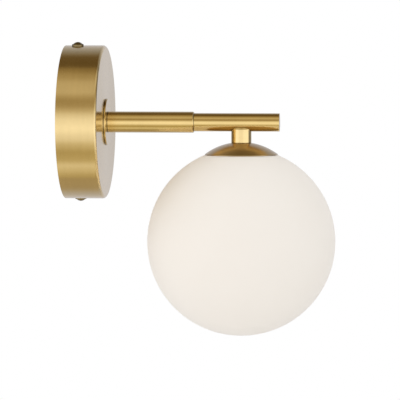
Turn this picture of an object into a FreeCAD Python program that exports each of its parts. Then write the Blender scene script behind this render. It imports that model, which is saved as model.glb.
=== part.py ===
import FreeCAD, Part

import math
import os

from FreeCAD import Vector

# Globe wall sconce: a round brass canopy on the wall, a straight arm and an opal glass globe that
# hangs under the arm's end. Millimetres. The origin is on the wall at the arm's axis, +X leaves the
# wall along the arm and +Z is up.

# ---- driving dimensions ----

# fits shared by many pieces
running_gap = 0.05  # radial or face clearance where one piece turns or slides on another
seat_gap = 0.3  # clearance between a piece that comes off and the piece it seats on
largest_rounding = 0.9  # of the wall that a rounded edge is on
longest_setback = 0.45  # of the run beside it that a bend in a lead takes

# canopy: a thin pressed cup, open towards the wall
canopy_diameter = 122.3
canopy_depth = 32.0
canopy_wall = 1.2
canopy_bend_radius = 1.3  # inside the front edge
fixing_line_tilt = 7.0  # degrees, from plumb to the line through the two side screws
side_screw_height = 10.4  # from the wall to the side screws
side_screw_diameter = 4.0
side_screw_rim_diameter = 9.3
side_screw_rim_thickness = 1.4
side_screw_rim_rounding = 0.5
side_screw_dome_diameter = 7.4
side_screw_dome_height = 1.7
side_screw_slot_width = 1.0
side_screw_slot_depth = 0.9
side_screw_reach = 3.0  # past the ear's inner face

# wall bracket: a cross-shaped steel strap with two ears
bracket_thickness = 2.0
bracket_width = 18.0
bracket_ear_clearance = 1.7  # from an ear to the canopy's wall
bracket_ear_height = 17.0
bracket_bend_radius = 1.5  # inside
bracket_hub_diameter = 44.0
wire_hole_diameter = 28.0
wall_screw_hole_diameter = 5.2
wide_box_spacing = 89.0
narrow_box_spacing = 70.0
cross_arm_width = 24.0

# terminal block on one cross arm
block_offset = 24.0  # from the arm's axis to the block's near end
block_length = 20.0
block_width = 24.0
block_height = 12.0
block_edge_radius = 0.8
terminal_pitch = 12.0
terminal_bore_diameter = 5.2
terminal_bore_height = 5.6  # above the bracket
insert_wall = 0.9
insert_setback = 1.0
insert_gap = 0.1
insert_stop = 1.0  # brass left between the fitted lead's bore and the supply wire's
clamp_screw_diameter = 2.6
clamp_screw_length = 4.6
clamp_screw_inset = 5.0
clamp_slot_width = 0.5
clamp_slot_depth = 0.6
block_screw_diameter = 3.0
block_screw_head_diameter = 5.4
block_screw_head_height = 2.0
block_screw_recess = 2.0  # head below the block's top

# earth fixing on the other cross arm
earth_offset = 30.0
earth_screw_diameter = 4.0
earth_head_diameter = 8.0
earth_head_height = 2.6
earth_head_rounding = 1.3
earth_slot_width = 1.0
cup_washer_diameter = 9.2
cup_washer_thickness = 0.8
ring_diameter = 8.0
ring_thickness = 0.8
ring_barrel_diameter = 3.4
ring_barrel_length = 8.0
cross_arm_margin = 8.0  # bracket past the earth screw

# swivel at the canopy: the arm's nipple turns in the canopy's centre hole
nipple_diameter = 10.0
nipple_bore = 7.6
nut_flats = 14.0
nut_height = 3.0
nut_chamfer = 0.6
slide_washer_diameter = 20.0
slide_washer_thickness = 1.0
spring_washer_diameter = 18.0
spring_washer_thickness = 0.6
spring_washer_height = 1.2
nipple_tail = 2.0  # past the second nut
bush_rim_diameter = 12.0
bush_rim_thickness = 1.0
bush_length = 6.0
flange_diameter = 37.2
flange_thickness = 1.5
flange_edge_radius = 0.35
stop_pin_diameter = 3.0
stop_pin_margin = 1.5  # from the slide washer's rim to the pin
stop_pin_tail = 1.2  # past the canopy's inner face
swivel_limit = 90.0  # degrees each way
stop_clearance = 0.2

# arm
sleeve_wall = 1.1
sleeve_length = 69.0
sleeve_chamfer = 0.6
plug_length = 12.0
tube_diameter = 14.5
tube_wall = 1.0
tube_overlap = 22.0  # tube hidden in the sleeve
tube_visible_length = 68.3
end_cap_thickness = 1.1
end_cap_edge_radius = 0.4
end_cap_spigot_length = 4.0

# drop stem and globe cap
stem_setback = 30.5  # from the arm's end back to the stem's axis
stem_diameter = 16.1
stem_visible_length = 9.1  # under the arm
stem_saddle_height = 3.6  # how far the stem's top rises round the arm
stem_edge_radius = 2.2
stem_foot_rounding = 0.5
stem_nipple_engagement = 7.0
cap_diameter = 58.0
cap_dome_radius = 48.5
cap_wall = 1.0
cap_skirt = 0.35
gasket_opening_gap = 1.5  # from the glass opening out to the gasket
gasket_edge_gap = 1.5  # from the gasket out to the cap's skirt

# lamp holder under the cap
gallery_thickness = 0.5
gallery_plate_radius = 12.5
leaf_count = 4
leaf_width = 8.0
leaf_first_angle = 45.0  # degrees
leaf_tail = 6.5  # below the glass opening's lower edge
leaf_tip_inset = 2.0
leaf_tip_drop_start = 1.5  # straight part below the glass
hat_thickness = 0.8
hat_width = 12.0
hat_leg_gap = 0.9  # from the nut's flats to the legs
hat_drop = 12.5
hat_foot_gap = 0.5  # round the screw heads
stem_nipple_tail = 1.0
holder_screw_diameter = 3.0
holder_screw_head_diameter = 5.0
holder_screw_head_height = 1.8
holder_screw_head_rounding = 0.6
holder_screw_depth = 3.4  # thread in the holder
holder_screw_floor = 0.8  # ceramic under the screws
holder_flange_width = 18.0
holder_wall = 1.2  # outside the socket's corners
holder_roof = 4.2  # ceramic over the contacts
socket_depth = 6.0
contact_pitch = 9.0
contact_over_pin = 2.5
contact_wall = 0.8
contact_setback = 0.6
lead_hole_diameter = 2.2

# lamp
lamp_base_length = 15.6
lamp_base_thickness = 8.6
lamp_base_height = 14.0
lamp_pin_diameter = 1.3
lamp_pin_length = 9.5
lamp_bulb_diameter = 14.0
lamp_bulb_length = 30.0
lamp_bulb_wall = 0.8
lamp_seat_depth = 2.0  # glass, and the pins, set into the base
lamp_collar_wall = 0.8
lamp_collar_height = 4.0
emitter_width = 6.0
emitter_thickness = 0.8
emitter_length = 22.0

# globe
globe_diameter = 150.0
globe_wall = 2.5
opening_margin = 2.1  # from the holder bracket's corners to the rim of the globe's opening
globe_rim_radius = 0.8

# wiring held inside the lamp
cable_diameter = 5.0
cable_tail = 1.5  # cable past the bush, in the canopy
cable_bend_per_bore = 2.0  # bend radius over the arm tube's bore radius
cable_foot = 0.6  # cable past the stem nipple
core_diameter = 1.8
core_spread = 1.15  # core axis to cable axis
canopy_lead_bend = 7.0
holder_lead_bend = 1.9
lead_engagement = 3.0

# ---- places worked out from them ----

canopy_radius = canopy_diameter / 2
canopy_inner_radius = canopy_radius - canopy_wall
canopy_inner_face = canopy_depth - canopy_wall
nipple_radius = nipple_diameter / 2
thread_radius = nipple_radius + running_gap  # every hole that the nipples pass through

slide_washer_front = canopy_inner_face - running_gap
spring_washer_front = slide_washer_front - slide_washer_thickness
nut_front = spring_washer_front - spring_washer_height
nipple_rear = nut_front - 2 * nut_height - nipple_tail
cable_rear = nipple_rear - bush_rim_thickness - cable_tail
stop_pin_circle = slide_washer_diameter / 2 + stop_pin_margin + stop_pin_diameter / 2

tube_radius = tube_diameter / 2
tube_bore_radius = tube_radius - tube_wall
sleeve_bore_radius = tube_radius + running_gap
sleeve_radius = sleeve_bore_radius + sleeve_wall
flange_rear = canopy_depth + running_gap
flange_front = flange_rear + flange_thickness
plug_front = flange_front + plug_length
sleeve_front = flange_front + sleeve_length
tube_rear = sleeve_front - tube_overlap
arm_front = sleeve_front + tube_visible_length
tube_front = arm_front - end_cap_thickness

stem_x = arm_front - stem_setback
stem_foot = -tube_radius - stem_visible_length
stem_top = -tube_radius + stem_saddle_height
stem_radius = stem_diameter / 2
stem_nipple_top = stem_foot + stem_nipple_engagement

cap_radius = cap_diameter / 2
cap_dome_centre = stem_foot - math.sqrt(cap_dome_radius**2 - stem_radius**2)
cap_rim = cap_dome_centre + math.sqrt(cap_dome_radius**2 - cap_radius**2) - cap_skirt
globe_radius = globe_diameter / 2
globe_clear_radius = globe_radius + seat_gap
globe_centre = cap_rim - math.sqrt(globe_clear_radius**2 - cap_radius**2)
globe_inner_radius = globe_radius - globe_wall

hat_leg_inner = nut_flats / 2 + hat_leg_gap
hat_leg_outer = hat_leg_inner + hat_thickness
holder_screw_offset = hat_leg_outer + hat_foot_gap + holder_screw_head_diameter / 2
hat_foot_end = holder_screw_offset + holder_screw_head_diameter / 2 + hat_foot_gap
opening_radius = math.hypot(hat_foot_end, hat_width / 2) + opening_margin
opening_bottom = globe_centre + math.sqrt(globe_inner_radius**2 - opening_radius**2)

cap_nut_top = stem_foot - cap_wall
gallery_top = cap_nut_top - nut_height
hat_top = gallery_top - gallery_thickness
holder_nut_top = hat_top - hat_thickness
stem_nipple_bottom = holder_nut_top - nut_height - stem_nipple_tail
holder_top = hat_top - hat_drop - hat_thickness
holder_flange_bottom = holder_top - holder_screw_depth - holder_screw_floor
contact_top = holder_top - holder_roof
socket_floor = contact_top - contact_over_pin - lamp_pin_length
holder_mouth = socket_floor - socket_depth
socket_half_length = lamp_base_length / 2 + seat_gap
socket_half_thickness = lamp_base_thickness / 2 + seat_gap
contact_inner_radius = lamp_pin_diameter / 2 + running_gap
contact_outer_radius = contact_inner_radius + contact_wall
lamp_top = socket_floor - seat_gap
lamp_base_bottom = lamp_top - lamp_base_height
cable_bottom = stem_nipple_bottom - cable_foot

ear_outer = canopy_inner_radius - bracket_ear_clearance
ear_inner = ear_outer - bracket_thickness
block_top = bracket_thickness + block_height
terminal_height = bracket_thickness + terminal_bore_height
insert_bore_radius = terminal_bore_diameter / 2 - insert_gap - insert_wall


# ---- helpers ----


def cylinder_x(radius, start, end, y=0.0, z=0.0):
    return Part.makeCylinder(radius, end - start, Vector(start, y, z), Vector(1, 0, 0))


def cylinder_y(radius, start, end, x=0.0, z=0.0):
    return Part.makeCylinder(radius, end - start, Vector(x, start, z), Vector(0, 1, 0))


def cylinder_z(radius, bottom, top, x=0.0, y=0.0):
    return Part.makeCylinder(radius, top - bottom, Vector(x, y, bottom), Vector(0, 0, 1))


def tube_x(outer, inner, start, end):
    return cylinder_x(outer, start, end).cut(cylinder_x(inner, start, end))


def tube_z(outer, inner, bottom, top, x=0.0, y=0.0):
    return cylinder_z(outer, bottom, top, x, y).cut(cylinder_z(inner, bottom, top, x, y))


def block(x0, x1, y0, y1, z0, z1):
    return Part.makeBox(x1 - x0, y1 - y0, z1 - z0, Vector(x0, y0, z0))


def polygon_face(points):
    return Part.Face(Part.makePolygon(points + points[:1]))


def spin(edges, base, axis):
    """Solid of revolution of a closed outline."""
    return Part.Face(Part.Wire(edges)).revolve(base, axis, 360)


def hexagon(flats, centre, direction):
    """Six corners of a hexagon in the plane square to direction, which is the X or the Z axis."""
    radius = flats / math.sqrt(3)
    points = []
    for corner in range(6):
        angle = math.radians(60 * corner + 30)
        a = radius * math.cos(angle)
        b = radius * math.sin(angle)
        step = Vector(0, a, b) if direction == "x" else Vector(a, b, 0)
        points.append(centre + step)
    return points


def hex_nut(near, direction):
    """Hexagon nut with chamfered corners, its near face's centre given, one nut height along X or Z."""
    along = Vector(1, 0, 0) if direction == "x" else Vector(0, 0, 1)
    across = Vector(0, 0, 1) if direction == "x" else Vector(1, 0, 0)
    prism = polygon_face(hexagon(nut_flats, near, direction)).extrude(along * nut_height)
    flat = nut_flats / 2
    corner = nut_flats / math.sqrt(3) + running_gap
    outline = [
        (0, 0),
        (flat, 0),
        (corner, nut_chamfer),
        (corner, nut_height - nut_chamfer),
        (flat, nut_height),
        (0, nut_height),
    ]
    face = polygon_face([near + across * r + along * h for r, h in outline])
    bore = Part.makeCylinder(thread_radius, nut_height, near, along)
    return prism.common(face.revolve(near, along, 360)).cut(bore)


def fillet_where(shape, wanted, wall, test):
    """Rounds the edges whose centre passes the test, as far as the wall allows."""
    edges = [edge for edge in shape.Edges if test(edge.CenterOfMass)]
    return shape.makeFillet(min(wanted, wall * largest_rounding), edges)


def on_fixing_line(shape):
    """Turns a piece about the arm's axis, from plumb onto the side screws' line."""
    turned = shape.copy()
    turned.rotate(Vector(0, 0, 0), Vector(1, 0, 0), fixing_line_tilt)
    return turned


def turned_about_z(shape, degrees, x=0.0):
    turned = shape.copy()
    turned.rotate(Vector(x, 0, 0), Vector(0, 0, 1), degrees)
    return turned


def bent_wire(points, wanted):
    """Straight runs through the points, with each corner rounded as wanted, or as its runs allow."""
    edges = []
    start = points[0]
    for before, corner, after in zip(points, points[1:], points[2:]):
        incoming = (corner - before).normalize()
        outgoing = (after - corner).normalize()
        turn = incoming.getAngle(outgoing)
        shorter = min(before.distanceToPoint(corner), corner.distanceToPoint(after))
        setback = min(wanted * math.tan(turn / 2), shorter * longest_setback)
        bend = setback / math.tan(turn / 2)
        arc_start = corner - incoming * setback
        arc_end = corner + outgoing * setback
        towards = (outgoing - incoming).normalize()
        middle = corner + towards * (bend / math.cos(turn / 2) - bend)
        edges.append(Part.LineSegment(start, arc_start).toShape())
        edges.append(Part.Arc(arc_start, middle, arc_end).toShape())
        start = arc_end
    edges.append(Part.LineSegment(start, points[-1]).toShape())
    return Part.Wire(edges)


def lead(points, bend, radius):
    """Round insulated lead along a bent path."""
    path = bent_wire(points, bend)
    ring = Part.Wire([Part.Circle(points[0], points[1] - points[0], radius).toShape()])
    return path.makePipeShell([ring], True, False)


def save(name, shape):
    shape.exportStep(f"parts/{name}.step")


# ---- canopy and its fixings ----


def canopy_shell():
    """Cup with a rounded front edge, as one outline turned about the arm's axis."""
    bend = canopy_bend_radius
    outer = canopy_bend_radius + canopy_wall
    edge_x = canopy_inner_face - bend
    edge_r = canopy_inner_radius - bend
    diagonal = math.sqrt(0.5)

    def at(x, r):
        return Vector(x, 0, r)

    corner = (edge_x + outer * diagonal, edge_r + outer * diagonal)
    inner_corner = (edge_x + bend * diagonal, edge_r + bend * diagonal)
    outline = [
        Part.LineSegment(at(0, canopy_radius), at(edge_x, canopy_radius)).toShape(),
        Part.Arc(at(edge_x, canopy_radius), at(*corner), at(canopy_depth, edge_r)).toShape(),
        Part.LineSegment(at(canopy_depth, edge_r), at(canopy_depth, thread_radius)).toShape(),
        Part.LineSegment(at(canopy_depth, thread_radius), at(canopy_inner_face, thread_radius)).toShape(),
        Part.LineSegment(at(canopy_inner_face, thread_radius), at(canopy_inner_face, edge_r)).toShape(),
        Part.Arc(at(canopy_inner_face, edge_r), at(*inner_corner), at(edge_x, canopy_inner_radius)).toShape(),
        Part.LineSegment(at(edge_x, canopy_inner_radius), at(0, canopy_inner_radius)).toShape(),
        Part.LineSegment(at(0, canopy_inner_radius), at(0, canopy_radius)).toShape(),
    ]
    return spin(outline, Vector(0, 0, 0), Vector(1, 0, 0))


def stop_slot():
    """Curved slot in the canopy's face, in which the stop pin runs through the swivel's range."""
    half = stop_pin_diameter / 2 + stop_clearance
    reach = math.radians(swivel_limit) + stop_clearance / stop_pin_circle
    cuts = []

    def at(radius, angle):
        return Vector(canopy_inner_face, radius * math.sin(angle), radius * math.cos(angle))

    outer = stop_pin_circle + half
    inner = stop_pin_circle - half
    edges = [
        Part.Arc(at(outer, -reach), at(outer, 0), at(outer, reach)).toShape(),
        Part.LineSegment(at(outer, reach), at(inner, reach)).toShape(),
        Part.Arc(at(inner, reach), at(inner, 0), at(inner, -reach)).toShape(),
        Part.LineSegment(at(inner, -reach), at(outer, -reach)).toShape(),
    ]
    cuts.append(Part.Face(Part.Wire(edges)).extrude(Vector(canopy_wall, 0, 0)))
    for end in (-reach, reach):
        centre = at(stop_pin_circle, end)
        cuts.append(cylinder_x(half, canopy_inner_face, canopy_depth, centre.y, centre.z))
    return cuts


def canopy_cover():
    shell = canopy_shell()
    for cut in stop_slot():
        shell = shell.cut(cut)
    hole_radius = side_screw_diameter / 2 + running_gap
    holes = cylinder_z(hole_radius, -canopy_diameter, canopy_diameter, side_screw_height)
    return shell.cut(on_fixing_line(holes))


def side_screw():
    """Flanged dome-head screw at the top of the canopy, before it is turned onto the fixing line."""
    rim_top = canopy_radius + side_screw_rim_thickness
    dome_top = rim_top + side_screw_dome_height
    shank_end = ear_inner - side_screw_reach
    x = side_screw_height
    rim = cylinder_z(side_screw_rim_diameter / 2, canopy_radius, rim_top, x)
    rim = fillet_where(rim, side_screw_rim_rounding, side_screw_rim_thickness,
                       lambda centre: centre.z > rim_top - running_gap)
    dome_half = side_screw_dome_diameter / 2
    dome_sphere = (dome_half**2 + side_screw_dome_height**2) / (2 * side_screw_dome_height)
    dome = cylinder_z(dome_half, rim_top, dome_top, x)
    dome = dome.common(Part.makeSphere(dome_sphere, Vector(x, 0, dome_top - dome_sphere)))
    shank = cylinder_z(side_screw_diameter / 2, shank_end, canopy_radius, x)
    half = side_screw_slot_width / 2
    reach = side_screw_dome_diameter
    slot = block(x - reach, x + reach, -half, half, dome_top - side_screw_slot_depth, dome_top)
    return rim.fuse([dome, shank]).removeSplitter().cut(slot)


def canopy_side_screws():
    top = side_screw()
    bottom = top.copy()
    bottom.rotate(Vector(0, 0, 0), Vector(1, 0, 0), 180)
    return Part.makeCompound([on_fixing_line(top), on_fixing_line(bottom)])


def bracket_ear():
    """Top ear with its rounded bend and the threaded hole for a side screw."""
    half = bracket_width / 2
    outer_bend = bracket_bend_radius + bracket_thickness
    strap = block(0, bracket_thickness, -half, half, 0, ear_outer)
    ear = block(0, bracket_ear_height, -half, half, ear_inner, ear_outer)
    angle = strap.fuse(ear).removeSplitter()
    angle = fillet_where(angle, outer_bend, outer_bend + bracket_thickness,
                         lambda c: c.x < running_gap and c.z > ear_outer - running_gap)

    def inside_bend(centre):
        return abs(centre.x - bracket_thickness) < running_gap and abs(centre.z - ear_inner) < running_gap

    angle = fillet_where(angle, bracket_bend_radius, outer_bend, inside_bend)
    hole_radius = side_screw_diameter / 2 + running_gap
    return angle.cut(cylinder_z(hole_radius, ear_inner, ear_outer, side_screw_height))


def wall_bracket():
    top = bracket_ear()
    bottom = top.copy()
    bottom.rotate(Vector(0, 0, 0), Vector(1, 0, 0), 180)
    hub = cylinder_x(bracket_hub_diameter / 2, 0, bracket_thickness)
    half = cross_arm_width / 2
    cross_start = -earth_offset - cross_arm_margin
    cross = block(0, bracket_thickness, cross_start, block_offset + block_length, -half, half)
    plate = top.fuse([bottom, hub, cross]).removeSplitter()
    plate = plate.cut(cylinder_x(wire_hole_diameter / 2, 0, bracket_thickness))
    for spacing in (wide_box_spacing, narrow_box_spacing):
        for side in (-1, 1):
            hole = cylinder_x(wall_screw_hole_diameter / 2, 0, bracket_thickness, 0, side * spacing / 2)
            plate = plate.cut(hole)
    block_hole = cylinder_x(block_screw_diameter / 2 + running_gap, 0, bracket_thickness, block_screw_y())
    earth_hole = cylinder_x(earth_screw_diameter / 2 + running_gap, 0, bracket_thickness, -earth_offset)
    return on_fixing_line(plate.cut(block_hole).cut(earth_hole))


# ---- terminals and earth fixing ----


def block_screw_y():
    return block_offset + block_length / 2


def block_screw_seat():
    return block_top - block_screw_recess - block_screw_head_height


def terminal_places():
    return [-terminal_pitch / 2, terminal_pitch / 2]


def clamp_places():
    return [block_offset + clamp_screw_inset, block_offset + block_length - clamp_screw_inset]


def terminal_block():
    half = block_width / 2
    body = block(bracket_thickness, block_top, block_offset, block_offset + block_length, -half, half)
    body = fillet_where(body, block_edge_radius, block_height, lambda c: c.x > block_top - running_gap)
    bore_radius = terminal_bore_diameter / 2
    clamp_radius = clamp_screw_diameter / 2 + insert_gap
    for z in terminal_places():
        bore = cylinder_y(bore_radius, block_offset, block_offset + block_length, terminal_height, z)
        body = body.cut(bore)
        for y in clamp_places():
            body = body.cut(cylinder_x(clamp_radius, terminal_height, block_top, y, z))
    head_radius = block_screw_head_diameter / 2 + insert_gap
    shank_radius = block_screw_diameter / 2 + running_gap
    body = body.cut(cylinder_x(head_radius, block_screw_seat(), block_top, block_screw_y()))
    body = body.cut(cylinder_x(shank_radius, bracket_thickness, block_top, block_screw_y()))
    return on_fixing_line(body)


def terminal_inserts():
    outer = terminal_bore_diameter / 2 - insert_gap
    start = block_offset + insert_setback
    end = block_offset + block_length - insert_setback
    middle = block_offset + block_length / 2
    inserts = []
    for z in terminal_places():
        insert = cylinder_y(outer, start, end, terminal_height, z)
        lead_bore = cylinder_y(insert_bore_radius, start, middle - insert_stop / 2, terminal_height, z)
        supply_bore = cylinder_y(insert_bore_radius, middle + insert_stop / 2, end, terminal_height, z)
        insert = insert.cut(lead_bore).cut(supply_bore)
        for y in clamp_places():
            hole = cylinder_x(clamp_screw_diameter / 2 + running_gap, terminal_height, block_top, y, z)
            insert = insert.cut(hole)
        inserts.append(on_fixing_line(insert))
    return Part.makeCompound(inserts)


def terminal_screws():
    """Slotted clamp screws. Those over the fitted leads bear on them, and the others are backed out."""
    lead_tip = terminal_height + core_diameter / 2
    supply_tip = terminal_height + insert_bore_radius + running_gap
    screws = []
    for z in terminal_places():
        for y, tip in zip(clamp_places(), (lead_tip, supply_tip)):
            top = tip + clamp_screw_length
            screw = cylinder_x(clamp_screw_diameter / 2, tip, top, y, z)
            half = clamp_slot_width / 2
            reach = clamp_screw_diameter
            slot = block(top - clamp_slot_depth, top, y - reach, y + reach, z - half, z + half)
            screws.append(on_fixing_line(screw.cut(slot)))
    return Part.makeCompound(screws)


def terminal_fixing_screw():
    y = block_screw_y()
    seat = block_screw_seat()
    top = seat + block_screw_head_height
    shank = cylinder_x(block_screw_diameter / 2, 0, seat, y)
    head = cylinder_x(block_screw_head_diameter / 2, seat, top, y)
    half = clamp_slot_width / 2
    reach = block_screw_head_diameter
    slot = block(top - clamp_slot_depth, top, y - reach, y + reach, -half, half)
    return on_fixing_line(shank.fuse(head).cut(slot))


def earth_stack():
    """Heights above the wall of the cup washer, ring and screw head."""
    washer = bracket_thickness
    ring = washer + cup_washer_thickness
    head = ring + ring_thickness
    return washer, ring, head


def earth_cup_washer():
    washer, ring, _ = earth_stack()
    disc = cylinder_x(cup_washer_diameter / 2, washer, ring, -earth_offset)
    hole = cylinder_x(earth_screw_diameter / 2 + running_gap, washer, ring, -earth_offset)
    return on_fixing_line(disc.cut(hole))


def ring_barrel_axis():
    _, ring, _ = earth_stack()
    return ring + ring_barrel_diameter / 2


def ring_mouth():
    return -earth_offset + ring_diameter / 2 + ring_barrel_length


def earth_ring_terminal():
    _, ring, head = earth_stack()
    eye = cylinder_x(ring_diameter / 2, ring, head, -earth_offset)
    barrel_start = -earth_offset + ring_diameter / 2 + ring_thickness
    half = ring_barrel_diameter / 2
    neck = block(ring, head, -earth_offset, ring_mouth(), -half, half)
    barrel = cylinder_y(half, barrel_start, ring_mouth(), ring_barrel_axis())
    piece = eye.fuse([neck, barrel]).removeSplitter()
    hole_end = ring_mouth() - lead_engagement
    lead_hole = cylinder_y(core_diameter / 2 + running_gap, hole_end, ring_mouth(), ring_barrel_axis())
    screw_hole = cylinder_x(earth_screw_diameter / 2 + running_gap, ring, head, -earth_offset)
    return on_fixing_line(piece.cut(lead_hole).cut(screw_hole))


def earth_screw():
    _, _, seat = earth_stack()
    top = seat + earth_head_height
    shank = cylinder_x(earth_screw_diameter / 2, 0, seat, -earth_offset)
    head = cylinder_x(earth_head_diameter / 2, seat, top, -earth_offset)
    head = fillet_where(head, earth_head_rounding, earth_head_height, lambda c: c.x > top - running_gap)
    half = earth_slot_width / 2
    slot_start = -earth_offset - earth_head_diameter
    slot_end = -earth_offset + earth_head_diameter
    slot = block(top - earth_slot_width, top, slot_start, slot_end, -half, half)
    return on_fixing_line(shank.fuse(head).cut(slot))


# ---- swivel ----


def stop_pin():
    pin_rear = canopy_inner_face - stop_pin_tail
    return cylinder_x(stop_pin_diameter / 2, pin_rear, flange_front, 0, stop_pin_circle)


def base_flange():
    disc = cylinder_x(flange_diameter / 2, flange_rear, flange_front)
    disc = fillet_where(disc, flange_edge_radius, flange_thickness,
                        lambda c: c.x > flange_front - running_gap)
    disc = disc.cut(cylinder_x(thread_radius, flange_rear, flange_front))
    return disc.cut(cylinder_x(stop_pin_diameter / 2, flange_rear, flange_front, 0, stop_pin_circle))


def arm_nipple():
    return tube_x(nipple_radius, nipple_bore / 2, nipple_rear, plug_front)


def slide_washer():
    return tube_x(slide_washer_diameter / 2, thread_radius, spring_washer_front, slide_washer_front)


def spring_washer():
    """Cone washer: its rim bears on the slide washer and its bore on the nut."""
    rim = spring_washer_diameter / 2
    outline = [
        Vector(spring_washer_front, 0, rim),
        Vector(spring_washer_front - spring_washer_thickness, 0, rim),
        Vector(nut_front, 0, thread_radius),
        Vector(nut_front + spring_washer_thickness, 0, thread_radius),
    ]
    return polygon_face(outline).revolve(Vector(0, 0, 0), Vector(1, 0, 0), 360)


def nipple_nuts():
    nuts = []
    for count in range(2):
        nuts.append(hex_nut(Vector(nut_front - (count + 1) * nut_height, 0, 0), "x"))
    return Part.makeCompound(nuts)


def cable_bush():
    """Plastic bush in the nipple's rear end, round the cable."""
    rim_rear = nipple_rear - bush_rim_thickness
    bore = cable_diameter / 2 + running_gap
    rim = tube_x(bush_rim_diameter / 2, bore, rim_rear, nipple_rear)
    spigot = tube_x(nipple_bore / 2 - running_gap, bore, nipple_rear, nipple_rear + bush_length)
    return rim.fuse(spigot).removeSplitter()


# ---- arm ----


def sleeve_plug():
    return tube_x(sleeve_bore_radius - running_gap, thread_radius, flange_front, plug_front)


def arm_sleeve():
    sleeve = tube_x(sleeve_radius, sleeve_bore_radius, flange_front, sleeve_front)
    end_edges = [edge for edge in sleeve.Edges if edge.BoundBox.XMin > sleeve_front - running_gap]
    outer_edges = [edge for edge in end_edges if edge.BoundBox.YMax > sleeve_radius - running_gap]
    return sleeve.makeChamfer(min(sleeve_chamfer, sleeve_wall * largest_rounding), outer_edges)


def arm_tube():
    tube = tube_x(tube_radius, tube_bore_radius, tube_rear, tube_front)
    return tube.cut(cylinder_z(thread_radius, -tube_diameter, 0, stem_x))


def arm_end_cap():
    disc = cylinder_x(tube_radius, tube_front, arm_front)
    disc = fillet_where(disc, end_cap_edge_radius, end_cap_thickness,
                        lambda c: c.x > arm_front - running_gap)
    spigot_radius = tube_bore_radius - running_gap
    spigot = cylinder_x(spigot_radius, tube_front - end_cap_spigot_length, tube_front)
    spigot = spigot.cut(cylinder_x(spigot_radius - tube_wall, tube_front - end_cap_spigot_length, tube_front))
    return disc.fuse(spigot).removeSplitter()


def drop_stem():
    """Upright turned stem whose top is cut away to the arm tube that lies across it."""
    stem = cylinder_z(stem_radius, stem_foot, stem_top, stem_x)
    stem = fillet_where(stem, stem_edge_radius, stem_saddle_height,
                        lambda c: c.z > stem_top - running_gap)
    stem = fillet_where(stem, stem_foot_rounding, stem_visible_length,
                        lambda c: c.z < stem_foot + running_gap)
    stem = stem.cut(cylinder_x(tube_radius + running_gap, stem_x - stem_diameter, stem_x + stem_diameter))
    return stem.cut(cylinder_z(thread_radius, stem_foot, stem_top, stem_x))


# ---- cap and lamp holder ----


def stem_nipple():
    return tube_z(nipple_radius, nipple_bore / 2, stem_nipple_bottom, stem_nipple_top, stem_x)


def dome_height(radius, r):
    return cap_dome_centre + math.sqrt(radius**2 - r**2)


def globe_cap():
    """Spun dome with a flat seat for the stem and a short skirt, trimmed to clear the glass."""
    inner = cap_dome_radius - cap_wall
    skirt_inner = cap_radius - cap_wall
    seat_inner = math.sqrt(inner**2 - (cap_nut_top - cap_dome_centre) ** 2)
    rim_low = cap_rim - cap_skirt

    def at(r, z):
        return Vector(stem_x + r, 0, z)

    def arc(sphere, r0, r1):
        places = [at(r, dome_height(sphere, r)) for r in (r0, (r0 + r1) / 2, r1)]
        return Part.Arc(*places).toShape()

    skirt_top = dome_height(cap_dome_radius, cap_radius)
    inner_top = dome_height(inner, skirt_inner)
    seat_low = dome_height(inner, seat_inner)
    outline = [
        Part.LineSegment(at(thread_radius, stem_foot), at(stem_radius, stem_foot)).toShape(),
        arc(cap_dome_radius, stem_radius, cap_radius),
        Part.LineSegment(at(cap_radius, skirt_top), at(cap_radius, rim_low)).toShape(),
        Part.LineSegment(at(cap_radius, rim_low), at(skirt_inner, rim_low)).toShape(),
        Part.LineSegment(at(skirt_inner, rim_low), at(skirt_inner, inner_top)).toShape(),
        arc(inner, skirt_inner, seat_inner),
        Part.LineSegment(at(seat_inner, seat_low), at(thread_radius, seat_low)).toShape(),
        Part.LineSegment(at(thread_radius, seat_low), at(thread_radius, stem_foot)).toShape(),
    ]
    dome = spin(outline, Vector(stem_x, 0, 0), Vector(0, 0, 1))
    return dome.cut(Part.makeSphere(globe_clear_radius, Vector(stem_x, 0, globe_centre)))


def cap_gasket():
    """Soft ring glued under the cap, between the dome and the glass."""
    outer = cap_radius - cap_wall - gasket_edge_gap
    ring = tube_z(outer, opening_radius + gasket_opening_gap, globe_centre, stem_foot, stem_x)
    dome = Part.makeSphere(cap_dome_radius - cap_wall, Vector(stem_x, 0, cap_dome_centre))
    glass = Part.makeSphere(globe_clear_radius, Vector(stem_x, 0, globe_centre))
    return ring.common(dome).cut(glass)


def cap_nut():
    return hex_nut(Vector(stem_x, 0, gallery_top), "z")


def gallery_leaf():
    """One sprung leaf of the gallery, towards +X of the stem, as a bent strip."""
    outer = math.sqrt((opening_radius - seat_gap) ** 2 - (leaf_width / 2) ** 2)
    inner = outer - gallery_thickness
    tip_outer = outer - leaf_tip_inset
    bend_low = opening_bottom - leaf_tip_drop_start
    tip = opening_bottom - leaf_tail
    half = leaf_width / 2
    root = gallery_plate_radius / 2
    outline = [
        (root, gallery_top),
        (outer, gallery_top),
        (outer, bend_low),
        (tip_outer, tip),
        (tip_outer - gallery_thickness, tip),
        (inner, bend_low),
        (inner, hat_top),
        (root, hat_top),
    ]
    face = polygon_face([Vector(stem_x + r, -half, z) for r, z in outline])
    return face.extrude(Vector(0, leaf_width, 0))


def spring_gallery():
    """Sprung cup that holds the globe by its opening: a plate with leaves round it."""
    plate = cylinder_z(gallery_plate_radius, hat_top, gallery_top, stem_x)
    leaves = []
    for count in range(leaf_count):
        angle = leaf_first_angle + 360 * count / leaf_count
        leaves.append(turned_about_z(gallery_leaf(), angle, stem_x))
    gallery = plate.fuse(leaves).removeSplitter()
    return gallery.cut(cylinder_z(thread_radius, hat_top, gallery_top, stem_x))


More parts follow.
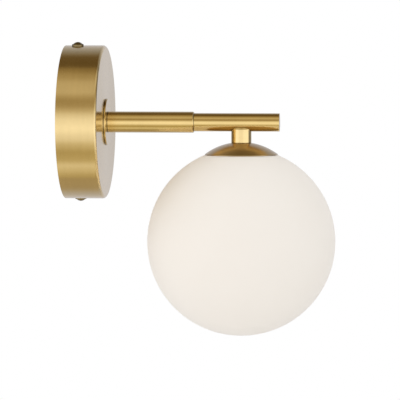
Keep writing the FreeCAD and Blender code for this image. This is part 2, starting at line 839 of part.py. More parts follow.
def holder_bracket():
    """Hat-shaped strap: its top is clamped by the nut and its feet carry the lamp holder."""
    half = hat_width / 2
    right_side = [
        (hat_leg_outer, hat_top),
        (hat_leg_outer, holder_top + hat_thickness),
        (hat_foot_end, holder_top + hat_thickness),
        (hat_foot_end, holder_top),
        (hat_leg_inner, holder_top),
        (hat_leg_inner, holder_nut_top),
    ]
    left_side = [(-u, z) for u, z in reversed(right_side)]
    face = polygon_face([Vector(stem_x + u, -half, z) for u, z in right_side + left_side])
    strap = face.extrude(Vector(0, hat_width, 0))
    strap = strap.cut(cylinder_z(thread_radius, holder_nut_top, hat_top, stem_x))
    for side in (-1, 1):
        x = stem_x + side * holder_screw_offset
        strap = strap.cut(cylinder_z(holder_screw_diameter / 2 + running_gap, holder_top, hat_top, x))
    return strap


def holder_nut():
    return hex_nut(Vector(stem_x, 0, holder_nut_top - nut_height), "z")


def holder_screws():
    seat = holder_top + hat_thickness
    top = seat + holder_screw_head_height
    screws = []
    for side in (-1, 1):
        x = stem_x + side * holder_screw_offset
        shank = cylinder_z(holder_screw_diameter / 2, holder_top - holder_screw_depth, seat, x)
        head = cylinder_z(holder_screw_head_diameter / 2, seat, top, x)
        head = fillet_where(head, holder_screw_head_rounding, holder_screw_head_height,
                            lambda c: c.z > top - running_gap)
        half = clamp_slot_width / 2
        reach = holder_screw_head_diameter
        slot = block(x - reach, x + reach, -half, half, top - clamp_slot_depth, top)
        screws.append(shank.fuse(head).cut(slot))
    return Part.makeCompound(screws)


def lamp_holder():
    """Ceramic holder: an oblong flange with rounded ends over a round body with the lamp's socket."""
    half = holder_flange_width / 2
    reach = hat_foot_end - half
    flange = block(stem_x - reach, stem_x + reach, -half, half, holder_flange_bottom, holder_top)
    for side in (-1, 1):
        flange = flange.fuse(cylinder_z(half, holder_flange_bottom, holder_top, stem_x + side * reach))
    body_radius = math.hypot(socket_half_length, socket_half_thickness) + holder_wall
    body = cylinder_z(body_radius, holder_mouth, holder_flange_bottom, stem_x)
    socket = block(stem_x - socket_half_length, stem_x + socket_half_length,
                   -socket_half_thickness, socket_half_thickness, holder_mouth, socket_floor)
    holder = flange.fuse(body).removeSplitter().cut(socket)
    for side in (-1, 1):
        pin_x = stem_x + side * contact_pitch / 2
        screw_x = stem_x + side * holder_screw_offset
        thread = holder_screw_diameter / 2 + running_gap
        thread_end = holder_top - holder_screw_depth
        contact_bore = contact_outer_radius + running_gap
        holder = holder.cut(cylinder_z(contact_bore, socket_floor, contact_top, pin_x))
        holder = holder.cut(cylinder_z(lead_hole_diameter / 2, contact_top, holder_top, pin_x))
        holder = holder.cut(cylinder_z(thread, thread_end, holder_top, screw_x))
    return holder


def holder_contacts():
    """Sprung contact tubes that grip the lamp's pins."""
    bottom = socket_floor + contact_setback
    contacts = []
    for side in (-1, 1):
        x = stem_x + side * contact_pitch / 2
        contacts.append(tube_z(contact_outer_radius, contact_inner_radius, bottom, contact_top, x))
    return Part.makeCompound(contacts)


# ---- lamp and globe ----


def lamp_base():
    half_length = lamp_base_length / 2
    half_thickness = lamp_base_thickness / 2
    base = block(stem_x - half_length, stem_x + half_length, -half_thickness, half_thickness,
                 lamp_base_bottom, lamp_top)
    bulb_radius = lamp_bulb_diameter / 2
    collar_radius = bulb_radius + lamp_collar_wall
    collar = cylinder_z(collar_radius, lamp_base_bottom, lamp_base_bottom + lamp_collar_height, stem_x)
    base = base.fuse(collar).removeSplitter()
    base = base.cut(cylinder_z(bulb_radius, lamp_base_bottom, lamp_base_bottom + lamp_seat_depth, stem_x))
    for side in (-1, 1):
        pin_x = stem_x + side * contact_pitch / 2
        base = base.cut(cylinder_z(lamp_pin_diameter / 2, lamp_top - lamp_seat_depth, lamp_top, pin_x))
    return base


def lamp_pins():
    start = lamp_top - lamp_seat_depth
    end = lamp_top + lamp_pin_length
    pins = []
    for side in (-1, 1):
        pins.append(cylinder_z(lamp_pin_diameter / 2, start, end, stem_x + side * contact_pitch / 2))
    return Part.makeCompound(pins)


def round_ended_rod(radius, end_centre, top):
    """Rod under the stem whose lower end is half a ball."""
    ball = Part.makeSphere(radius, Vector(stem_x, 0, end_centre))
    return cylinder_z(radius, end_centre, top, stem_x).fuse(ball).removeSplitter()


def lamp_bulb():
    """Frosted glass tube with a round end."""
    top = lamp_base_bottom + lamp_seat_depth
    radius = lamp_bulb_diameter / 2
    end_centre = lamp_base_bottom - lamp_bulb_length + radius
    inside = round_ended_rod(radius - lamp_bulb_wall, end_centre, top)
    return round_ended_rod(radius, end_centre, top).cut(inside)


def lamp_emitter():
    """Light strip that stands in the base, inside the lamp's glass."""
    top = lamp_base_bottom + lamp_seat_depth
    half = emitter_width / 2
    thin = emitter_thickness / 2
    return block(stem_x - half, stem_x + half, -thin, thin, top - emitter_length, top)


def glass_globe():
    """Blown opal globe with a round opening at the top, its ground rim slightly rounded."""
    centre = Vector(stem_x, 0, globe_centre)
    globe = Part.makeSphere(globe_radius, centre).cut(Part.makeSphere(globe_inner_radius, centre))
    globe = globe.cut(cylinder_z(opening_radius, globe_centre, globe_centre + globe_diameter, stem_x))
    rim_top = globe_centre + math.sqrt(globe_radius**2 - opening_radius**2)
    return fillet_where(globe, globe_rim_radius, globe_wall, lambda c: c.z > rim_top - running_gap)


# ---- wiring ----


def arm_cable():
    """Round cable on the swivel's axis, through the arm and down the stem."""
    points = [Vector(cable_rear, 0, 0), Vector(stem_x, 0, 0), Vector(stem_x, 0, cable_bottom)]
    return lead(points, cable_bend_per_bore * tube_bore_radius, cable_diameter / 2)


def canopy_lead(side):
    """Live or neutral core, from the cable's end to its terminal."""
    start = Vector(cable_rear - seat_gap, core_spread * math.sin(math.radians(30)), side * core_spread)
    corner = Vector(terminal_height, start.y, start.z)
    turn = Vector(terminal_height, block_offset - canopy_lead_bend, side * terminal_pitch / 2)
    end = Vector(terminal_height, clamp_places()[0] + lead_engagement, side * terminal_pitch / 2)
    return on_fixing_line(lead([start, corner, turn, end], canopy_lead_bend, core_diameter / 2))


def earth_lead():
    start = Vector(cable_rear - seat_gap, -core_spread, 0)
    corner = Vector(ring_barrel_axis(), -core_spread, 0)
    end = Vector(ring_barrel_axis(), ring_mouth() - lead_engagement, 0)
    return on_fixing_line(lead([start, corner, end], canopy_lead_bend, core_diameter / 2))


def holder_leads():
    """Two cores from the cable's end to the top of the lamp holder."""
    leads = []
    for side in (-1, 1):
        near = stem_x + side * core_spread
        far = stem_x + side * contact_pitch / 2
        points = [
            Vector(near, 0, cable_bottom),
            Vector(near, 0, cable_bottom - holder_lead_bend),
            Vector(far, 0, holder_top + holder_lead_bend),
            Vector(far, 0, contact_top),
        ]
        leads.append(lead(points, holder_lead_bend, core_diameter / 2))
    return Part.makeCompound(leads)


pieces = {
    "canopy_cover": canopy_cover,
    "canopy_side_screws": canopy_side_screws,
    "wall_bracket": wall_bracket,
    "terminal_block": terminal_block,
    "terminal_inserts": terminal_inserts,
    "terminal_screws": terminal_screws,
    "terminal_fixing_screw": terminal_fixing_screw,
    "earth_cup_washer": earth_cup_washer,
    "earth_ring_terminal": earth_ring_terminal,
    "earth_screw": earth_screw,
    "base_flange": base_flange,
    "stop_pin": stop_pin,
    "arm_nipple": arm_nipple,
    "slide_washer": slide_washer,
    "spring_washer": spring_washer,
    "nipple_nuts": nipple_nuts,
    "cable_bush": cable_bush,
    "sleeve_plug": sleeve_plug,
    "arm_sleeve": arm_sleeve,
    "arm_tube": arm_tube,
    "arm_end_cap": arm_end_cap,
    "drop_stem": drop_stem,
    "stem_nipple": stem_nipple,
    "globe_cap": globe_cap,
    "cap_gasket": cap_gasket,
    "cap_nut": cap_nut,
    "spring_gallery": spring_gallery,
    "holder_bracket": holder_bracket,
    "holder_nut": holder_nut,
    "holder_screws": holder_screws,
    "lamp_holder": lamp_holder,
    "holder_contacts": holder_contacts,
    "lamp_base": lamp_base,
    "lamp_pins": lamp_pins,
    "lamp_bulb": lamp_bulb,
    "lamp_emitter": lamp_emitter,
    "glass_globe": glass_globe,
    "arm_cable": arm_cable,
    "live_lead": lambda: canopy_lead(1),
    "neutral_lead": lambda: canopy_lead(-1),
    "earth_lead": earth_lead,
    "holder_leads": holder_leads,
}

os.makedirs("parts", exist_ok=True)
for name, make in pieces.items():
    save(name, make())
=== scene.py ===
"""Looks of the globe wall sconce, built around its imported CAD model. Metres, +X out of the wall, +Z up."""

import math

import bmesh
import bpy
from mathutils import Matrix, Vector


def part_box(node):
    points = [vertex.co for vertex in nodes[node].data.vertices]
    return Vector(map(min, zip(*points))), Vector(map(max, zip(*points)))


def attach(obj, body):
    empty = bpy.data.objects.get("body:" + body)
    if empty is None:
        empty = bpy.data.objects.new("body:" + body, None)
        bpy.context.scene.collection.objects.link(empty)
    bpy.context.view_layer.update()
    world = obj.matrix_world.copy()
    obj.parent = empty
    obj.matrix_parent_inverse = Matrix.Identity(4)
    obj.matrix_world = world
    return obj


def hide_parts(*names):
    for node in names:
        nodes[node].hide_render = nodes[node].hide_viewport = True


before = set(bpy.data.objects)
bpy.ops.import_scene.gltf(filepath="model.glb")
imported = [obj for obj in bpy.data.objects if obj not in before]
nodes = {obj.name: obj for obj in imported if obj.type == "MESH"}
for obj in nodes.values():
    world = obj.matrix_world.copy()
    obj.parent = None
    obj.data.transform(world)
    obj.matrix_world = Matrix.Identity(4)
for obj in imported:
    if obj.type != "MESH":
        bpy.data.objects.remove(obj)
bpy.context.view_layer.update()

MM = 0.001

# ---- the photograph's view ----

VIEW_AZIMUTH = 5.3  # degrees, towards the arm's end
VIEW_ELEVATION = 3.8
VIEW_DISTANCE = 1.916
VIEW_TARGET = Vector((0.1073, 0.0, -0.0621))
VIEW_LENS = 216.0
SENSOR_WIDTH = 36.0


def aim(thing, place, way):
    """Puts a camera or light at place, turned to look along way."""
    thing.location = place
    thing.rotation_mode = "QUATERNION"
    thing.rotation_quaternion = way.to_track_quat("-Z", "Y")
    bpy.context.scene.collection.objects.link(thing)


def add_camera():
    azimuth, elevation = math.radians(VIEW_AZIMUTH), math.radians(VIEW_ELEVATION)
    back = Vector(
        (
            math.sin(azimuth) * math.cos(elevation),
            -math.cos(azimuth) * math.cos(elevation),
            math.sin(elevation),
        )
    )
    data = bpy.data.cameras.new("photo_camera")
    data.lens = VIEW_LENS
    data.sensor_width = SENSOR_WIDTH
    camera = bpy.data.objects.new("photo_camera", data)
    aim(camera, VIEW_TARGET + back * VIEW_DISTANCE, -back)
    bpy.context.scene.camera = camera


# ---- node helpers ----


class Tree:
    """A node tree with short calls for the nodes used here."""

    def __init__(self, tree):
        self.tree = tree
        tree.nodes.clear()

    def node(self, kind, **settings):
        made = self.tree.nodes.new(kind)
        for key, value in settings.items():
            setattr(made, key, value)
        return made

    def feed(self, socket, value):
        """Links value into socket if it is an output, or sets it as a constant."""
        if isinstance(value, bpy.types.NodeSocket):
            self.tree.links.new(value, socket)
        else:
            socket.default_value = value

    def maths(self, operation, *values):
        made = self.node("ShaderNodeMath", operation=operation)
        for socket, value in zip(made.inputs, values):
            self.feed(socket, value)
        return made.outputs[0]

    def length(self, first, second):
        """Length of a vector from two values at right angles."""
        squares = [self.maths("MULTIPLY", side, side) for side in (first, second)]
        return self.maths("SQRT", self.maths("ADD", *squares))

    def split(self, vector):
        made = self.node("ShaderNodeSeparateXYZ")
        self.feed(made.inputs[0], vector)
        return made.outputs

    def join(self, x, y, z):
        made = self.node("ShaderNodeCombineXYZ")
        for socket, value in zip(made.inputs, (x, y, z)):
            self.feed(socket, value)
        return made.outputs[0]

    def noise(self, vector, scale, detail=2.0, roughness=0.5):
        made = self.node("ShaderNodeTexNoise")
        self.feed(made.inputs["Vector"], vector)
        made.inputs["Scale"].default_value = scale
        made.inputs["Detail"].default_value = detail
        made.inputs["Roughness"].default_value = roughness
        return made.outputs["Fac"]

    def fit(self, value, low, high, to_low=0.0, to_high=1.0, smooth=False):
        made = self.node("ShaderNodeMapRange", clamp=True)
        if smooth:
            made.interpolation_type = "SMOOTHSTEP"
        self.feed(made.inputs[0], value)
        for socket, number in zip(made.inputs[1:5], (low, high, to_low, to_high)):
            socket.default_value = number
        return made.outputs[0]

    def spread(self, noise, to_low=0.0, to_high=1.0):
        """Stretches a noise over a range: most of its values lie between 0.3 and 0.7."""
        return self.fit(noise, 0.3, 0.7, to_low, to_high)

    def mix(self, share, first, second):
        """Colour from first, at a share of 0, to second, at 1."""
        made = self.node("ShaderNodeMix", data_type="RGBA")
        self.feed(made.inputs[0], share)
        for socket, value in ((made.inputs[6], first), (made.inputs[7], second)):
            self.feed(socket, value if isinstance(value, bpy.types.NodeSocket) else (*value, 1.0))
        return made.outputs[2]

    def ramp(self, value, stops):
        """Level at an elevation given as 0, straight down, to 1, straight up. The stops are in degrees."""
        made = self.node("ShaderNodeValToRGB")
        self.feed(made.inputs[0], value)
        band = made.color_ramp
        band.interpolation = "EASE"
        while len(band.elements) > 1:
            band.elements.remove(band.elements[-1])
        for place, (degrees, level) in enumerate(stops):
            at = degrees / 180 + 0.5
            stop = band.elements[0] if place == 0 else band.elements.new(at)
            stop.position = at
            stop.color = (level, level, level, 1.0)
        return made.outputs[0]

    def bump(self, height, distance, strength):
        made = self.node("ShaderNodeBump")
        made.inputs["Strength"].default_value = strength
        made.inputs["Distance"].default_value = distance
        self.feed(made.inputs["Height"], height)
        return made.outputs[0]


class Surface(Tree):
    """A material with a Principled shader. Each keyword is one of the shader's sockets, set as a constant."""

    def __init__(self, name, roughness, metallic=0.0, **sockets):
        self.material = bpy.data.materials.new(name)
        self.material.use_nodes = True
        super().__init__(self.material.node_tree)
        self.shader = self.node("ShaderNodeBsdfPrincipled")
        out = self.node("ShaderNodeOutputMaterial")
        self.tree.links.new(self.shader.outputs[0], out.inputs[0])
        self.place = self.node("ShaderNodeTexCoord").outputs["Object"]
        self.shader.inputs["Roughness"].default_value = roughness
        self.shader.inputs["Metallic"].default_value = metallic
        for key, value in sockets.items():
            self.shader.inputs[key.replace("_", " ")].default_value = value

    def set(self, socket, value):
        self.feed(self.shader.inputs[socket], value)


def tinted(color, share):
    return tuple(min(1.0, c * share) for c in color)


# ---- materials ----

STEM_LOW, STEM_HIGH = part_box("drop_stem")
STEM_X = (STEM_LOW.x + STEM_HIGH.x) / 2
STEM_RADIUS = (STEM_HIGH.x - STEM_LOW.x) / 2
STEM_EDGE = 2.2 * MM  # rounding of its upper edge
SLEEVE_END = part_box("arm_sleeve")[1].x
SLEEVE_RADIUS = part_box("arm_sleeve")[1].z
TUBE_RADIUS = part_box("arm_tube")[1].z
FLANGE_BACK, FLANGE_FRONT = (corner.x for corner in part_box("base_flange"))
FLANGE_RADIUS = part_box("base_flange")[1].z

CANOPY_BRASS = (0.76, 0.565, 0.255)
ARM_BRASS = (0.76, 0.55, 0.215)
# painted shade: the cap wears a darker copy of the canopy's brass, so that it and its reflection in the arm's
# underside look shaded
CAP_SHADED_BRASS = (0.60, 0.42, 0.185)
# the side screws are a much darker brown than the canopy's brass
SCREW_BRASS = (0.27, 0.205, 0.10)

# noise scales of the turning lines, per metre across them, and of the clouds in the lacquer
FINE_LINES = 3200.0
BROAD_LINES = 420.0
LINE_STRETCH = 0.0012  # metres across the lines that one radian along them counts as
BRASS_CLOUDS = 38.0

# darker lacquer and painted contact shadow along a seam where parts meet
SEAM_CORE = 0.1 * MM
SEAM_REACH = 0.75 * MM
SEAM_PAINTED_SHADE = 0.25

# how far below the globe's outside its inner surface starts to count, and where it counts fully
OPAL_OUTER = 1.1 * MM
OPAL_INNER = 1.9 * MM

# the earth lead lies in the plane of the bracket's cross arm
BRACKET_TILT = math.radians(7.0)
STRIPE_EDGES = (0.32 * MM, 0.38 * MM)


def stem_outline(s):
    """Distance from the stem with its rounded upper edge."""
    x, y, z = s.split(s.place)
    out = s.length(s.maths("SUBTRACT", x, STEM_X), y)
    beside = s.maths("MAXIMUM", s.maths("SUBTRACT", out, STEM_RADIUS - STEM_EDGE), 0.0)
    above = s.maths("MAXIMUM", s.maths("SUBTRACT", z, STEM_HIGH.z - STEM_EDGE), 0.0)
    return s.maths("SUBTRACT", s.length(beside, above), STEM_EDGE)


def corner_at(place, radius):
    """Distance from the ring where a round face about the arm's axis meets a flat one square to it."""

    def reach(s):
        x, y, z = s.split(s.place)
        ahead = s.maths("ABSOLUTE", s.maths("SUBTRACT", x, place))
        out = s.maths("ABSOLUTE", s.maths("SUBTRACT", s.length(y, z), radius))
        return s.maths("MAXIMUM", ahead, out)

    return reach


def turned_brass(name, along, color, roughness, shaded_seams=()):
    """Lacquered satin brass with fine turning lines round the X axis, or round the stem's own axis. Along each
    seam
    it is darker: partly darker lacquer, partly painted contact shadow."""
    s = Surface(
        name, roughness, 1.0, Anisotropic=0.5, Anisotropic_Rotation=0.25, Coat_Weight=0.6, Coat_Roughness=0.14
    )
    s.set("Tangent", s.node("ShaderNodeTangent", direction_type="RADIAL", axis=along).outputs[0])
    x, y, z = s.split(s.place)
    if along == "X":
        run, across, up = x, y, z
    else:
        run, across, up = z, s.maths("SUBTRACT", x, STEM_X), y
    angle = s.maths("ARCTAN2", up, across)
    line = s.join(run, s.length(across, up), s.maths("MULTIPLY", angle, LINE_STRETCH))
    fine = s.noise(line, FINE_LINES, 3.0, 0.6)
    broad = s.noise(line, BROAD_LINES)
    cloud = s.noise(s.place, BRASS_CLOUDS, 3.0, 0.55)
    tone = s.maths("ADD", s.maths("MULTIPLY", broad, 0.35), s.maths("MULTIPLY", cloud, 0.65))
    shade = s.mix(s.spread(tone), tinted(color, 0.95), tinted(color, 1.05))
    # painted shade: the base colour darkens along each seam, standing in for contact shadow as well as darker
    # lacquer
    for distance_to in shaded_seams:
        painted_shade = s.fit(distance_to(s), SEAM_CORE, SEAM_REACH, 1.0, 0.0, smooth=True)
        shade = s.mix(painted_shade, shade, tinted(color, SEAM_PAINTED_SHADE))
    s.set("Base Color", shade)
    uneven = s.maths("ADD", s.maths("MULTIPLY", fine, 0.5), s.maths("MULTIPLY", cloud, 0.5))
    s.set("Roughness", s.spread(uneven, roughness - 0.03, roughness + 0.03))
    s.set("Normal", s.bump(fine, 0.000012, 0.5))
    return s.material


def plain_metal(name, color, roughness):
    """Metal with a fine uneven finish."""
    s = Surface(name, roughness, 1.0)
    fine = s.noise(s.place, 900.0, 4.0, 0.6)
    cloud = s.noise(s.place, 70.0)
    s.set("Base Color", s.mix(s.spread(cloud), tinted(color, 0.92), tinted(color, 1.05)))
    s.set("Roughness", s.fit(fine, 0.25, 0.75, roughness - 0.06, roughness + 0.06))
    s.set("Normal", s.bump(fine, 0.00001, 0.6))
    return s.material


def moulded(name, color, roughness, grain=1400.0, depth=0.00002, **sockets):
    """Moulded plastic or pressed ceramic with a faint grain."""
    s = Surface(name, roughness, **sockets)
    fine = s.noise(s.place, grain, 3.0)
    cloud = s.noise(s.place, 60.0)
    s.set("Base Color", s.mix(s.spread(cloud), tinted(color, 0.95), tinted(color, 1.03)))
    s.set("Roughness", s.spread(fine, roughness - 0.05, roughness + 0.05))
    s.set("Normal", s.bump(fine, depth, 0.5))
    return s.material


def opal_glass():
    """Opal glass with a satin outside, slightly warmer in places. The inside shows the light that comes through
    the wall, so it scatters more and over a longer way there."""
    s = Surface("opal_glass", 0.5, IOR=1.5, Specular_IOR_Level=0.15, Subsurface_Radius=(1.0, 1.0, 1.0))
    low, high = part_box("glass_globe")
    radius = (high.x - low.x) / 2
    away = s.node("ShaderNodeVectorMath", operation="DISTANCE")
    s.feed(away.inputs[0], s.place)
    s.feed(away.inputs[1], Vector(((low.x + high.x) / 2, 0.0, low.z + radius)))
    wall = (away.outputs["Value"], radius - OPAL_INNER, radius - OPAL_OUTER)
    s.set("Subsurface Weight", s.fit(*wall, 1.0, 0.4))
    s.set("Subsurface Scale", s.fit(*wall, 0.03, 0.006))
    cloud = s.noise(s.place, 14.0)
    fine = s.noise(s.place, 900.0)
    s.set("Base Color", s.mix(s.spread(cloud), (0.951, 0.886, 0.816), (0.965, 0.902, 0.834)))
    s.set("Roughness", s.spread(fine, 0.46, 0.54))
    s.set("Normal", s.bump(s.maths("ADD", cloud, s.maths("MULTIPLY", fine, 0.02)), 0.0002, 0.4))
    return s.material


def frosted_glass():
    s = Surface("frosted_glass", 0.55, IOR=1.45, Transmission_Weight=0.3)
    fine = s.noise(s.place, 1600.0)
    s.set("Base Color", s.mix(fine, (0.90, 0.89, 0.86), (0.96, 0.95, 0.92)))
    s.set("Normal", s.bump(fine, 0.00002, 0.6))
    return s.material


def earth_insulation():
    """Green insulation with a yellow stripe along it."""
    s = Surface("earth_insulation", 0.42)
    _, y, z = s.split(s.place)
    above = s.maths("MULTIPLY", z, math.cos(BRACKET_TILT))
    across = s.maths("SUBTRACT", above, s.maths("MULTIPLY", y, math.sin(BRACKET_TILT)))
    green = s.fit(s.maths("ABSOLUTE", across), *STRIPE_EDGES)
    s.set("Base Color", s.mix(green, (0.72, 0.55, 0.03), (0.06, 0.26, 0.05)))
    s.set("Normal", s.bump(s.noise(s.place, 1500.0), 0.00002, 0.4))
    return s.material


# seams where the brass gets painted contact shadow
FLANGE_SHADED_SEAM = corner_at(FLANGE_BACK, FLANGE_RADIUS)
ARM_SHADED_CORNERS = (
    stem_outline,
    corner_at(SLEEVE_END, TUBE_RADIUS),
    corner_at(FLANGE_FRONT, SLEEVE_RADIUS),
    FLANGE_SHADED_SEAM,
)

materials = {
    "canopy": turned_brass("satin_brass_canopy", "X", CANOPY_BRASS, 0.20, (FLANGE_SHADED_SEAM,)),
    "arm": turned_brass("satin_brass_arm", "X", ARM_BRASS, 0.16, ARM_SHADED_CORNERS),
    "stem": turned_brass("satin_brass_stem", "Z", CANOPY_BRASS, 0.12),
    "cap": turned_brass("satin_brass_cap_painted_shade", "Z", CAP_SHADED_BRASS, 0.32, (stem_outline,)),
    "screw": plain_metal("dark_brown_screw", SCREW_BRASS, 0.26),
    "plain_brass": plain_metal("machined_brass", (0.80, 0.61, 0.30), 0.27),
    "zinc": plain_metal("zinc_plate", (0.60, 0.60, 0.59), 0.36),
    "spring": plain_metal("spring_strip", (0.50, 0.50, 0.51), 0.3),
    "tinned": plain_metal("tinned_copper", (0.76, 0.76, 0.74), 0.3),
    "green_screw": plain_metal("green_screw", (0.10, 0.42, 0.16), 0.36),
    "opal": opal_glass(),
    "frosted": frosted_glass(),
    "steatite": moulded("steatite", (0.80, 0.78, 0.73), 0.62, 700.0, 0.00004),
    "lamp_ceramic": moulded("lamp_ceramic", (0.86, 0.85, 0.82), 0.35),
    "emitter": moulded("phosphor_strip", (0.86, 0.66, 0.16), 0.6, 2200.0, 0.00005),
    "nylon": moulded("nylon", (0.80, 0.80, 0.77), 0.4, Subsurface_Weight=0.1),
    "silicone": moulded("silicone", (0.74, 0.74, 0.72), 0.55),
    "sheath": moulded("cable_sheath", (0.79, 0.78, 0.74), 0.45),
    "brown": moulded("lead_brown", (0.13, 0.05, 0.022), 0.4),
    "blue": moulded("lead_blue", (0.022, 0.09, 0.33), 0.4),
    "earth": earth_insulation(),
    "white_lead": moulded("lead_white", (0.80, 0.78, 0.74), 0.5),
}

finish_of = {
    "canopy": ["canopy_cover"],
    "arm": ["base_flange", "arm_sleeve", "arm_tube", "arm_end_cap"],
    "stem": ["drop_stem"],
    "cap": ["globe_cap"],
    "screw": ["canopy_side_screws"],
    "plain_brass": ["terminal_inserts", "earth_cup_washer", "sleeve_plug", "stop_pin"],
    "zinc": [
        "wall_bracket",
        "terminal_screws",
        "terminal_fixing_screw",
        "arm_nipple",
        "spring_washer",
        "nipple_nuts",
        "stem_nipple",
        "cap_nut",
        "holder_bracket",
        "holder_nut",
        "holder_screws",
    ],
    "spring": ["spring_gallery"],
    "tinned": ["earth_ring_terminal", "holder_contacts", "lamp_pins"],
    "green_screw": ["earth_screw"],
    "opal": ["glass_globe"],
    "frosted": ["lamp_bulb"],
    "steatite": ["lamp_holder"],
    "lamp_ceramic": ["lamp_base"],
    "emitter": ["lamp_emitter"],
    "nylon": ["terminal_block", "slide_washer", "cable_bush"],
    "silicone": ["cap_gasket"],
    "sheath": ["arm_cable"],
    "brown": ["live_lead"],
    "blue": ["neutral_lead"],
    "earth": ["earth_lead"],
    "white_lead": ["holder_leads"],
}


def wear(piece, material):
    piece.data.materials.clear()
    piece.data.materials.append(material)


for finish, names in finish_of.items():
    for name in names:
        wear(nodes[name], materials[finish])


# ---- threads of the two nipples ----

THREAD_PITCH = 1.0 * MM
THREAD_DEPTH = 0.61 * MM
NIPPLE_RADIUS = 5.0 * MM
NIPPLE_BORE = 3.8 * MM
AROUND = 72  # points round the nipple
PER_TURN = 12  # rows in each turn of the thread
SHARP = math.radians(25.0)  # edges that turn more stay sharp


def thread_height(turn):
    """Share of the thread's depth, 1 on the crest, at a place along the thread in turns. Crest and root are an
    eighth of a turn wide each, and the flanks three eighths."""
    at = turn % 1.0
    if at < 0.125:
        return 1.0
    if at < 0.5:
        return (0.5 - at) / 0.375
    if at < 0.625:
        return 0.0
    return (at - 0.625) / 0.375


def add_nipple(name, node, low, high, point):
    """Threaded tube from low to high along its own axis, which stands for the node. point() turns a place
    (along, across, up) on that axis into one in the scene."""
    shape = bmesh.new()
    angles = [2 * math.pi * step / AROUND for step in range(AROUND)]
    rows = math.ceil((high - low) / THREAD_PITCH * PER_TURN)
    rings = []
    for row in range(rows + 1):
        along = low + (high - low) * row / rows
        lead = min(along - low, high - along)
        ring = []
        for step, angle in enumerate(angles):
            height = thread_height(along / THREAD_PITCH - step / AROUND)
            radius = NIPPLE_RADIUS - THREAD_DEPTH * (1 - height)
            radius = min(radius, NIPPLE_RADIUS - THREAD_DEPTH + lead)
            ring.append(shape.verts.new(point(along, radius * math.cos(angle), radius * math.sin(angle))))
        rings.append(ring)
    for along in (high, low):
        bore = [(NIPPLE_BORE * math.cos(angle), NIPPLE_BORE * math.sin(angle)) for angle in angles]
        rings.append([shape.verts.new(point(along, across, up)) for across, up in bore])
    for first, second in zip(rings, rings[1:] + rings[:1]):
        for step in range(AROUND):
            after = (step + 1) % AROUND
            shape.faces.new((first[step], first[after], second[after], second[step]))
    bmesh.ops.recalc_face_normals(shape, faces=shape.faces)
    for edge in shape.edges:
        edge.smooth = edge.calc_face_angle(0.0) < SHARP
    for face in shape.faces:
        face.smooth = True
    mesh = bpy.data.meshes.new(name)
    shape.to_mesh(mesh)
    shape.free()
    piece = bpy.data.objects.new(name, mesh)
    bpy.context.scene.collection.objects.link(piece)
    wear(piece, materials["zinc"])
    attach(piece, "arm")
    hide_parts(node)


def along_arm(along, across, up):
    return along, across, up


def along_stem(along, across, up):
    return STEM_X + across, up, along


arm_low, arm_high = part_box("arm_nipple")
add_nipple("arm_nipple_thread", "arm_nipple", arm_low.x, arm_high.x, along_arm)
drop_low, drop_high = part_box("stem_nipple")
add_nipple("stem_nipple_thread", "stem_nipple", drop_low.z, drop_high.z, along_stem)


# ---- studio ----

WHITE = (1.0, 1.0, 1.0)

FLOOR_HEIGHT = -0.52
FLOOR_HALF = 6.0
FLOOR_COLOR = (0.93, 0.93, 0.93, 1.0)
FLOOR_FADE = (0.7, 1.7)  # metres from the arm's root at the wall
FLOOR_GLOW = (0.55, 1.0)  # share of plain white in what the camera sees of it, near and far

# soft light that matt surfaces receive: warmer from the wall's side, and dimmer from above
WALL_SIDE = (1.08, 1.035, 0.99)
ROOM_SIDE = (1.03, 1.03, 1.03)
OVERHEAD = (0.88, 0.87, 0.85)

# brightness of the studio that metal reflects, by height in degrees, from straight down to straight up
FRONT_LEVELS = [
    (-90, 0.39),
    (-83, 0.46),
    (-74, 0.69),
    (-65, 0.86),
    (-56, 0.60),
    (-44, 0.53),
    (-34, 0.70),
    (-22, 1.02),
    (-8, 1.26),
    (3, 1.12),
    (12, 0.90),
    (18, 0.63),
    (25, 0.44),
    (33, 0.40),
    (38, 0.49),
    (45, 0.66),
    (59, 0.62),
    (72, 0.42),
    (82, 0.25),
    (90, 0.17),
]
BACK_LEVELS = [
    (-90, 0.39),
    (-78, 0.47),
    (-65, 0.46),
    (-45, 0.51),
    (-25, 0.61),
    (-8, 0.64),
    (12, 0.62),
    (25, 0.50),
    (38, 0.40),
    (50, 0.29),
    (64, 0.15),
    (78, 0.14),
    (90, 0.16),
]
FRONT_SIDES = 1.12  # times the front's level, left and right of its middle
BACK_SIDES = 0.35  # times the back's level, left and right of its middle and near the horizon

KEY_PLACE = Vector((-0.6, -1.8, 0.0))
KEY_TARGET = Vector((0.10, 0.0, -0.06))
KEY_SIZE = 1.6
KEY_POWER = 3.6


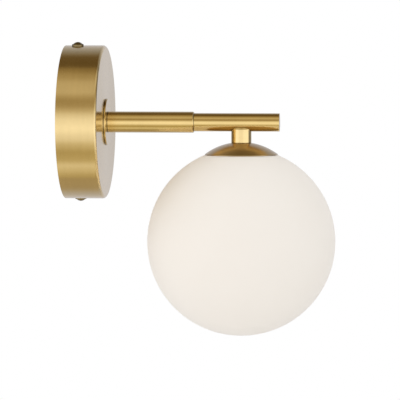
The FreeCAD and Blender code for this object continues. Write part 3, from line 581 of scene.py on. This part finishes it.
def add_floor():
    """Pale floor that takes the shadow and fades into the white ground away from the object. It is clear from
    below, so that the object can be looked at from there too."""
    mesh = bpy.data.meshes.new("floor")
    shape = bmesh.new()
    corners = [(-1, -1), (1, -1), (1, 1), (-1, 1)]
    shape.faces.new([shape.verts.new((x * FLOOR_HALF, y * FLOOR_HALF, FLOOR_HEIGHT)) for x, y in corners])
    shape.to_mesh(mesh)
    shape.free()
    floor = bpy.data.objects.new("floor", mesh)
    bpy.context.scene.collection.objects.link(floor)
    material = bpy.data.materials.new("pale_floor")
    material.use_nodes = True
    t = Tree(material.node_tree)
    rays = t.node("ShaderNodeLightPath").outputs
    seen = t.maths("MAXIMUM", rays["Is Camera Ray"], rays["Is Transmission Ray"])
    reach = t.node("ShaderNodeVectorMath", operation="LENGTH")
    t.feed(reach.inputs[0], t.node("ShaderNodeTexCoord").outputs["Object"])
    share = t.fit(reach.outputs["Value"], *FLOOR_FADE, *FLOOR_GLOW, smooth=True)
    lit = t.node("ShaderNodeBsdfDiffuse")
    lit.inputs[0].default_value = FLOOR_COLOR
    glow = t.node("ShaderNodeEmission")
    blend = t.node("ShaderNodeMixShader")
    t.feed(blend.inputs[0], t.maths("MULTIPLY", seen, share))
    t.feed(blend.inputs[1], lit.outputs[0])
    t.feed(blend.inputs[2], glow.outputs[0])
    sided = t.node("ShaderNodeMixShader")
    t.feed(sided.inputs[0], t.node("ShaderNodeNewGeometry").outputs["Backfacing"])
    t.feed(sided.inputs[1], blend.outputs[0])
    t.feed(sided.inputs[2], t.node("ShaderNodeBsdfTransparent").outputs[0])
    t.feed(t.node("ShaderNodeOutputMaterial").inputs[0], sided.outputs[0])
    wear(floor, material)
    floor.visible_glossy = False


def front_studio(t, elevation, sideways, z):
    """Bright front with a dim band above it. Where it is dim it is yellower, as the photo's brass is there, and
    most of all low down."""
    level = t.maths("MULTIPLY", t.ramp(elevation, FRONT_LEVELS), t.fit(sideways, 0.25, 0.6, 1.0, FRONT_SIDES))
    green = t.maths("MINIMUM", t.maths("POWER", level, 1.22), t.maths("POWER", level, 1.1))
    depth = t.fit(z, -0.5, -0.1, 2.05, 1.8)
    blue = t.maths("MINIMUM", t.maths("POWER", level, depth), t.maths("POWER", level, 1.3))
    return t.join(level, green, blue)


def back_studio(t, elevation, forward, z):
    """Pale wall at the back, dimmer at its sides, and a dark ceiling. It is yellower near the poles."""
    steep = t.maths("ABSOLUTE", z)
    low = t.fit(steep, 0.3, 0.75, 1.0, 0.0, smooth=True)
    side = t.fit(forward, -0.70, -0.93, BACK_SIDES, 1.0, smooth=True)
    dimmed = t.maths("ADD", t.maths("MULTIPLY", low, side), t.maths("SUBTRACT", 1.0, low))
    level = t.maths("MULTIPLY", t.ramp(elevation, BACK_LEVELS), dimmed)
    warm = t.join(level, t.maths("POWER", level, 1.18), t.maths("POWER", level, 1.6))
    cool = t.join(level, level, t.maths("MULTIPLY", level, 1.06))
    return t.mix(t.fit(steep, 0.70, 0.92, 1.0, 0.0, smooth=True), warm, cool)


def add_world():
    """White to the camera and through glass, soft pale light to matt surfaces, and the studio to metal."""
    world = bpy.data.worlds.new("studio")
    world.use_nodes = True
    world.cycles.sampling_method = "NONE"
    bpy.context.scene.world = world
    t = Tree(world.node_tree)
    x, y, z = t.split(t.node("ShaderNodeTexCoord").outputs["Generated"])
    elevation = t.maths("ADD", t.maths("DIVIDE", t.maths("ARCSINE", z), math.pi), 0.5)
    level_part = t.maths("MAXIMUM", t.length(x, y), 0.0001)
    forward = t.maths("DIVIDE", t.maths("MULTIPLY", y, -1.0), level_part)
    sideways = t.maths("DIVIDE", t.maths("ABSOLUTE", x), level_part)
    front = front_studio(t, elevation, sideways, z)
    back = back_studio(t, elevation, forward, z)
    studio = t.mix(t.fit(forward, -0.30, 0.15, smooth=True), back, front)
    rays = t.node("ShaderNodeLightPath").outputs
    matt = t.maths("MINIMUM", rays["Diffuse Depth"], 1.0)
    around = t.mix(t.fit(x, -0.9, 0.6), WALL_SIDE, ROOM_SIDE)
    soft = t.mix(t.fit(z, 0.2, 1.0), around, OVERHEAD)
    seen = t.maths("MAXIMUM", rays["Is Camera Ray"], rays["Is Transmission Ray"])
    background = t.node("ShaderNodeBackground")
    t.feed(background.inputs[0], t.mix(seen, t.mix(matt, studio, soft), WHITE))
    t.feed(t.node("ShaderNodeOutputWorld").inputs[0], background.outputs[0])


def add_key_light():
    data = bpy.data.lights.new("key", "AREA")
    data.shape = "DISK"
    data.size = KEY_SIZE
    data.energy = KEY_POWER
    light = bpy.data.objects.new("key", data)
    light.visible_glossy = False
    aim(light, KEY_PLACE, KEY_TARGET - KEY_PLACE)


add_camera()
add_floor()
add_world()
add_key_light()
bpy.context.scene.view_settings.view_transform = "Standard"
